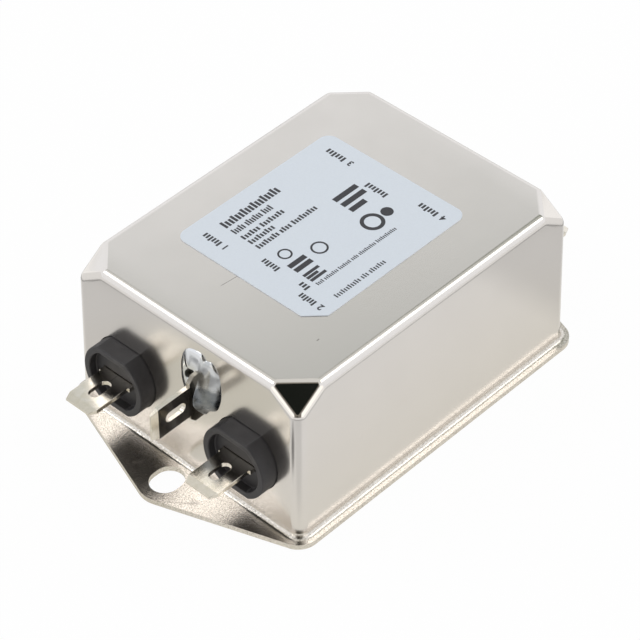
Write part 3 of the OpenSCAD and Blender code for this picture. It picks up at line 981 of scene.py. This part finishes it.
@dataclass
class Label:
    """The film on the top face and its print of plain bars, shapes and numbers.

    Attributes:
        film_finish: Finish of the film.
        ink_finish: Finish of the print.
        ink: Thickness of the print in millimetres.
        lines: Lines of bars.
        blocks: Plain blocks, as (low x, low y, high x, high y).
        rings: Plain rings, as (middle x, middle y, outer radius, stroke).
        numbers: Terminal numbers, as (digit, x, y) of the digit's foot.
        number_size: Size of the numbers' letters in millimetres.
        sunk: Share of the print's thickness that lies in the film.
    """

    film_finish: Film = Film("label_film", (0.695, 0.752, 0.825), 0.42, 0.03, 0.9)
    ink_finish: Film = Film("label_ink", (0.040, 0.040, 0.048), 0.5, 0.25)
    ink: float = 0.02
    number_size: float = 1.75
    sunk: float = 0.3
    lines: tuple[PrintLine, ...] = (
        PrintLine((-10.9, 11.5), 1.75, (17,), 13.0, thick=0.66),
        PrintLine((-10.9, 9.4), 1.35, (5, 7, 4), 9.0),
        PrintLine((-10.9, 7.4), 1.1, (6, 8), 9.6),
        PrintLine((-10.9, 5.8), 1.1, (9,), 5.7),
        PrintLine((-10.9, 4.1), 1.1, (8, 4, 9), 13.9),
        PrintLine((-10.8, -8.8), 0.75, (4, 8, 7, 4, 10, 12), 18.7, thick=0.52),
        PrintLine((-10.9, -13.0), 0.95, (11, 3, 7), 11.7, thick=0.5),
        PrintLine((-13.8, 9.6), 1.3, (6,), 3.8, upright=True),
        PrintLine((-13.8, -11.3), 1.3, (6,), 3.4, upright=True),
        PrintLine((15.4, 9.4), 1.3, (6,), 4.1, upright=True),
        PrintLine((15.4, -11.1), 1.3, (6,), 4.0, upright=True),
        PrintLine((-11.9, -1.5), 1.25, (6,), 3.6, upright=True),
        PrintLine((-11.9, -8.1), 1.25, (3,), 2.0, upright=True),
        PrintLine((13.3, -1.9), 1.25, (7,), 4.6, upright=True),
    )
    blocks: tuple[tuple[float, float, float, float], ...] = (
        (6.0, 2.9, 11.4, 4.0), (6.0, 1.1, 11.4, 2.2), (6.0, -0.7, 9.6, 0.4),
        (-10.9, -4.3, -7.1, -3.3), (-10.9, -2.9, -7.1, -1.9),
        (-10.9, -5.9, -7.4, -5.3), (-10.9, -6.7, -8.4, -6.1), (-10.9, -7.5, -7.4, -6.9),
    )
    rings: tuple[tuple[float, float, float, float], ...] = (
        (6.4, -4.65, 2.1, 0.7), (9.9, -4.65, 1.1, 1.1),
        (-4.1, -2.7, 1.5, 0.35), (-9.0, 0.3, 1.25, 0.32),
    )
    numbers: tuple[tuple[str, float, float], ...] = (
        ("1", -13.8, 8.0), ("2", -13.8, -13.0), ("3", 15.4, 7.6), ("4", 15.4, -12.9))

    def plate(self, made: bmesh.types.BMesh, outer: list[Point2], inner: list[Point2]) -> None:
        """Adds a flat plate of ink, with a hole if inner points are given.

        Args:
            made: The bmesh of the print.
            outer: Corners of the outline in millimetres.
            inner: Corners of the hole, one for each outer corner, or none.
        """
        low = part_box("rating_label")[1].z - self.sunk * self.ink * MM
        high = low + self.ink * MM

        def row(points: list[Point2], z: float) -> list[bmesh.types.BMVert]:
            """Returns vertices at a height."""
            return [made.verts.new((px * MM, py * MM, z)) for px, py in points]

        bottom, top = row(outer, low), row(outer, high)
        count = len(outer)
        for k in range(count):
            after = (k + 1) % count
            made.faces.new((bottom[k], bottom[after], top[after], top[k]))
        if not inner:
            made.faces.new(top)
            made.faces.new(bottom[::-1])
            return
        hole_bottom, hole_top = row(inner, low), row(inner, high)
        for k in range(count):
            after = (k + 1) % count
            made.faces.new((hole_bottom[after], hole_bottom[k], hole_top[k], hole_top[after]))
            made.faces.new((top[k], top[after], hole_top[after], hole_top[k]))
            made.faces.new((bottom[after], bottom[k], hole_bottom[k], hole_bottom[after]))

    @staticmethod
    def circle(x: float, y: float, radius: float, corners: int = 40) -> list[Point2]:
        """Returns points round a circle."""
        turns = [2 * math.pi * k / corners for k in range(corners)]
        return [(x + radius * math.cos(t), y + radius * math.sin(t)) for t in turns]

    def number(self, text: str, x: float, y: float) -> bpy.types.Object:
        """Returns a plain upright number that starts at a place on the label."""
        data = bpy.data.curves.new(f"terminal_number_{text}", "FONT")
        data.body = text
        data.size = self.number_size * MM
        data.extrude = self.ink * MM / 2
        data.offset = 0.05 * MM
        piece = bpy.data.objects.new(f"terminal_number_{text}", data)
        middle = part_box("rating_label")[1].z + (0.5 - self.sunk) * self.ink * MM
        piece.location = (x * MM, y * MM, middle)
        piece.rotation_euler = (0.0, 0.0, math.pi / 2)
        bpy.context.scene.collection.objects.link(piece)
        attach(piece, ROOT)
        return piece

    def build(self) -> None:
        """Lays the bars, shapes and numbers on the film."""
        made = bmesh.new()
        blocks = list(self.blocks)
        for line in self.lines:
            blocks += line.bars()
        for x0, y0, x1, y1 in blocks:
            self.plate(made, [(x0, y0), (x1, y0), (x1, y1), (x0, y1)], [])
        for x, y, radius, stroke in self.rings:
            hole = self.circle(x, y, radius - stroke) if stroke < radius else []
            self.plate(made, self.circle(x, y, radius), hole)
        self.prints = [mesh_piece("label_print", made)]
        self.prints += [self.number(*each) for each in self.numbers]

    def dress(self) -> None:
        """Finishes the film and the print."""
        wear(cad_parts["rating_label"], self.film_finish.material())
        ink = self.ink_finish.material()
        for piece in self.prints:
            wear(piece, ink)


@dataclass
class Inside:
    """The circuit that the case closes in.

    Attributes:
        finishes: Finish of each node.
    """

    finishes: dict[str, Finish] = field(default_factory=lambda: {
        "ground_wire": Winding("earth_wire"),
        "insulating_sheet": Film("pressed_board", (0.72, 0.62, 0.44), 0.7, 0.12),
        "circuit_board": CastBody("board_green", (0.02, 0.10, 0.04), 0.35, 0.5),
        "board_joints": SolderSkin("joint_solder"),
        "choke_core": CastBody("ferrite_black", (0.03, 0.03, 0.035), 0.5, 0.4),
        "choke_divider": CastBody("divider_white", (0.75, 0.74, 0.68), 0.45),
        "choke_winding_line": Winding("coil_line"),
        "choke_winding_neutral": Winding("coil_neutral"),
        "x_capacitor_line": CastBody("box_yellow_line", (0.70, 0.42, 0.05), 0.35),
        "x_capacitor_load": CastBody("box_yellow_load", (0.70, 0.42, 0.05), 0.35),
        "y_capacitor_left": CastBody("disc_blue_left", (0.04, 0.13, 0.35), 0.25),
        "y_capacitor_right": CastBody("disc_blue_right", (0.04, 0.13, 0.35), 0.25),
        "discharge_resistor": CastBody("resistor_tan", (0.50, 0.36, 0.20), 0.4),
    })

    def dress(self) -> None:
        """Finishes each part of the circuit."""
        for node, finish in self.finishes.items():
            shade_round(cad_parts[node])
            wear(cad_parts[node], finish.material())


# ---------------------------------------------------------------------------------------
# Studio
# ---------------------------------------------------------------------------------------


@dataclass
class Studio:
    """Camera, light and floor.

    Attributes:
        azimuth: Compass angle of the camera in degrees, 0 looking along +Y.
        elevation: Angle of the camera above the horizon in degrees.
        distance: From the camera to its target, in metres.
        target: Point that the camera looks at, in metres.
        lens: Focal length in millimetres.
        sensor: Sensor width in millimetres.
        shift: Sideways and upward shift of the picture.
        far_axis: Direction in which the far wall darkens.
        sky_heights: Distances along it between which it darkens.
        low_sky: Colour of the room below them.
        high_sky: Colour of the far wall above them.
        ceiling: Colour of the ceiling.
        screen: Colour of the bright screens beside the camera.
        fringe: Colour of the gap between the screens.
        gap: Colour of the dark openings in it.
        gaps: Elevation and angular radius of each dark opening, in degrees.
        gap_turn: How far to the left of the camera's direction they lie, in degrees.
        gap_fade: Width of their soft rim, in degrees.
        footprint: Half length and half width of the case on the floor, in millimetres.
        floor_levels: Glow of the floor, in reflections, near the case and far from it.
        ring: Distances from the case between which that glow dips, in millimetres.
        ring_level: How much of it is left there.
        corner_level: How much of it is left beyond the case's corners.
        near_tone: Tint of the floor's glow close to the case, in reflections alone: a painted
            reflection.
        reflection_dark_spot: Middle of a small dark spot in the floor's glow, in reflections alone:
            a painted reflection, in millimetres.
        reflection_dark_spot_level: How much of the glow is left on that dark spot.
        hollow: Middle of a dimmer patch of the floor's glow, in millimetres.
        hollow_tone: Tint of that patch, in reflections alone: a painted reflection.
        shares: Share of the floor's glow seen directly and in reflections.
        left_lamp: Direction of the left soft box.
        right_lamp: Direction of the right soft box.
        lamp_distance: Distance of the soft boxes in metres.
        lamp_size: Width and height of a soft box in metres.
        lamp_glow: Brightness of a soft box.
    """

    azimuth: float = -47.089
    elevation: float = 42.445
    distance: float = 0.485956
    target: Rgb = (0.0, -0.002871, 0.015)
    lens: float = 165.569
    sensor: float = 36.0
    shift: Point2 = (-0.027592, -0.016373)
    far_axis: Rgb = (0.15, -0.16, 1.0)
    sky_heights: Point2 = (0.60, 0.775)
    low_sky: Rgb = (1.030, 1.045, 1.075)
    high_sky: Rgb = (0.262, 0.285, 0.240)
    ceiling: Rgb = (0.83, 0.83, 0.81)
    screen: Rgb = (1.45, 1.42, 1.36)
    fringe: Rgb = (0.26, 0.24, 0.21)
    gap: Rgb = (0.012, 0.014, 0.012)
    gaps: tuple[Point2, ...] = ((47.6, 15.0), (10.0, 5.0))
    gap_turn: float = 4.4
    gap_fade: float = 3.0
    footprint: Rgb = (32.0, 24.0, 0.0)
    floor_levels: Point2 = (0.89, 1.17)
    ring: Point2 = (40.0, 58.0)
    ring_level: float = 0.45
    corner_level: float = 0.80
    near_tone: Rgb = (0.97, 0.95, 0.885)
    reflection_dark_spot: Rgb = (-55.0, -20.5, 0.0)
    reflection_dark_spot_level: float = 0.12
    hollow: Rgb = (-52.0, 10.0, 0.0)
    hollow_tone: Rgb = (0.80, 0.78, 0.69)
    shares: Point2 = (0.97, 0.88)
    left_lamp: Rgb = (-0.3695, 0.5024, 0.7817)
    right_lamp: Rgb = (0.5405, -0.3870, 0.7470)
    lamp_distance: float = 0.7
    lamp_size: Point2 = (0.225, 0.32)
    lamp_glow: float = 1.75

    def back(self) -> Vector:
        """Returns the unit vector from the target to the camera."""
        a, e = math.radians(self.azimuth), math.radians(self.elevation)
        return Vector((math.sin(a) * math.cos(e), -math.cos(a) * math.cos(e), math.sin(e)))

    def build(self) -> None:
        """Makes the camera, the floor, the world and the lamps."""
        self.build_camera()
        self.build_floor()
        self.build_world()
        self.build_lamps()

    def build_camera(self) -> None:
        """Makes the camera at its place."""
        data = bpy.data.cameras.new("camera")
        data.lens = self.lens
        data.sensor_width = self.sensor
        data.shift_x, data.shift_y = self.shift
        data.clip_start, data.clip_end = 0.01, 20.0
        camera = bpy.data.objects.new("camera", data)
        camera.location = Vector(self.target) + self.back() * self.distance
        camera.rotation_mode = "QUATERNION"
        camera.rotation_quaternion = (-self.back()).to_track_quat("-Z", "Y")
        bpy.context.scene.collection.objects.link(camera)
        bpy.context.scene.camera = camera

    def build_floor(self) -> None:
        """Makes a white floor that keeps a faint shadow and is uneven in reflections alone."""
        made = bmesh.new()
        bmesh.ops.create_grid(made, x_segments=8, y_segments=8, size=1.5)
        data = bpy.data.meshes.new("floor")
        made.to_mesh(data)
        made.free()
        floor = bpy.data.objects.new("floor", data)
        floor.location.z = cad_box[0].z - 0.02 * MM
        bpy.context.scene.collection.objects.link(floor)
        material, g = new_material("white_floor")
        place = g.place()
        grain = g.speckle(place, 4.0)
        paper = g.add("BsdfDiffuse")
        g.feed(paper.inputs["Color"], g.blend(grain, (0.90, 0.90, 0.90), (0.88, 0.88, 0.88)))
        rays = g.add("LightPath")
        outside = g.vector("SUBTRACT", g.vector("ABSOLUTE", place, ORIGIN), self.footprint)
        away = g.vector("LENGTH", g.vector("MAXIMUM", outside, ORIGIN), ORIGIN)
        ring = g.band(away, *self.ring, 4.0)
        far = g.remap(away, self.ring[1], 75.0, *self.floor_levels, smooth=True)
        lit = g.math("MULTIPLY", far, g.remap(ring, 0.0, 1.0, 1.0, self.ring_level))
        over_x, over_y, _ = g.axes(outside)
        beyond = g.math("MINIMUM", over_x, over_y)
        lit = g.math("MULTIPLY", lit, g.remap(beyond, 2.0, 9.0, 1.0, self.corner_level))
        # A small dark spot in the floor's glow, seen only in reflections: a painted reflection on
        # the case.
        reflection_dark_spot = g.vector("LENGTH", g.vector("SUBTRACT", place, self.reflection_dark_spot), ORIGIN)
        lit = g.math("MULTIPLY", lit, g.remap(reflection_dark_spot, 3.5, 8.0, self.reflection_dark_spot_level, 1.0, smooth=True))
        # A warm tint near the case and a dim warm patch, seen only in reflections: painted
        # reflections.
        tint = g.blend(g.remap(away, 2.0, 24.0, 0.0, 1.0), self.near_tone, WHITE)
        hollow = g.vector("LENGTH", g.vector("SUBTRACT", place, self.hollow), ORIGIN)
        tint = g.blend(g.remap(hollow, 8.0, 27.0, 1.0, 0.0, smooth=True), tint, self.hollow_tone)
        glossy = rays.outputs["Is Glossy Ray"]
        seen = g.math("ADD", g.math("MULTIPLY", glossy, lit), g.math("SUBTRACT", 1.0, glossy))
        glow = g.add("Emission")
        g.feed(glow.inputs["Color"], g.blend(glossy, WHITE, tint))
        g.feed(glow.inputs["Strength"], seen)
        share = g.math("ADD", g.math("MULTIPLY", rays.outputs["Is Camera Ray"], self.shares[0]),
                       g.math("MULTIPLY", glossy, self.shares[1]), clamp=True)
        mix = g.add("MixShader")
        g.feed(mix.inputs[0], share)
        g.feed(mix.inputs[1], paper.outputs[0])
        g.feed(mix.inputs[2], glow.outputs[0])
        output = g.add("OutputMaterial")
        g.feed(output.inputs["Surface"], mix.outputs[0])
        wear(floor, material)

    def build_world(self) -> None:
        """Makes a pale room with dark openings about one direction, between two bright screens."""
        world = bpy.data.worlds.new("room")
        bpy.context.scene.world = world
        world.use_nodes = True
        g = Graph(world.node_tree)
        way = g.vector("NORMALIZE", g.add("TexCoord").outputs["Generated"], ORIGIN)
        _, _, height = g.axes(way)
        level = g.vector("NORMALIZE", g.vector("MULTIPLY", way, (1.0, 1.0, 0.0)), ORIGIN)
        back = self.back()
        toward = g.vector("DOT_PRODUCT", level, tuple(Vector((back.x, back.y, 0.0)).normalized()))
        lean = g.vector("DOT_PRODUCT", way, self.far_axis)
        dim = g.math("MULTIPLY", g.remap(lean, *self.sky_heights, 0.0, 1.0, smooth=True),
                     g.remap(toward, -0.45, -0.10, 1.0, 0.0, smooth=True))
        colour = g.blend(dim, self.low_sky, self.high_sky)
        colour = g.blend(g.remap(height, 0.785, 0.815, 0.0, 1.0, smooth=True), colour, self.ceiling)
        screens = g.math("MULTIPLY", g.band(toward, 0.52, 0.84, 0.03),
                         g.remap(height, 0.36, 0.50, 1.0, 0.0, smooth=True))
        colour = g.blend(screens, colour, self.screen)
        fringe = g.math("MULTIPLY", g.remap(toward, 0.855, 0.89, 0.0, 1.0, smooth=True),
                        g.remap(height, 0.980, 0.992, 1.0, 0.0, smooth=True))
        colour = g.blend(fringe, colour, self.fringe)
        for elevation, reach in self.gaps:
            turn, rise = math.radians(self.azimuth - self.gap_turn), math.radians(elevation)
            flat = math.cos(rise)
            middle = (math.sin(turn) * flat, -math.cos(turn) * flat, math.sin(rise))
            near = g.vector("DOT_PRODUCT", way, middle)
            fade = math.cos(math.radians(reach + self.gap_fade))
            inside = g.remap(near, fade, math.cos(math.radians(reach)), 0.0, 1.0, smooth=True)
            colour = g.blend(inside, colour, self.gap)
        room = g.add("Background")
        g.feed(room.inputs["Color"], colour)
        white = g.add("Background")
        white.inputs["Color"].default_value = (1.0, 1.0, 1.0, 1.0)
        rays = g.add("LightPath")
        mix = g.add("MixShader")
        g.feed(mix.inputs[0], rays.outputs["Is Camera Ray"])
        g.feed(mix.inputs[1], room.outputs[0])
        g.feed(mix.inputs[2], white.outputs[0])
        output = g.add("OutputWorld")
        g.feed(output.inputs["Surface"], mix.outputs[0])

    def build_lamps(self) -> None:
        """Hangs one soft box on each side."""
        for name, place, along in (("left", self.left_lamp, (0.0, 1.0, 0.0)),
                                   ("right", self.right_lamp, (1.0, 0.0, 0.0))):
            data = bpy.data.lights.new(f"soft_box_{name}", "AREA")
            data.shape = "RECTANGLE"
            data.size, data.size_y = self.lamp_size
            data.energy = self.lamp_glow * math.pi * data.size * data.size_y
            back = Vector(place).normalized()
            across = Vector(along).cross(back).normalized()
            lamp = bpy.data.objects.new(f"soft_box_{name}", data)
            lamp.location = back * self.lamp_distance
            lamp.rotation_mode = "QUATERNION"
            turned = Matrix((across, back.cross(across), back)).transposed()
            lamp.rotation_quaternion = turned.to_quaternion()
            bpy.context.scene.collection.objects.link(lamp)


def main() -> None:
    """Builds and dresses the sub-assemblies, then sets up the studio."""
    logging.basicConfig(level=logging.INFO, format="%(name)s: %(message)s")
    for part in (Case(), Terminals(), Earth(), Label()):
        part.build()
        part.dress()
        LOG.info("%s built and dressed", type(part).__name__)
    Inside().dress()
    Studio().build()
    bpy.context.scene.view_settings.view_transform = "Standard"


if __name__ == "__main__":
    main()
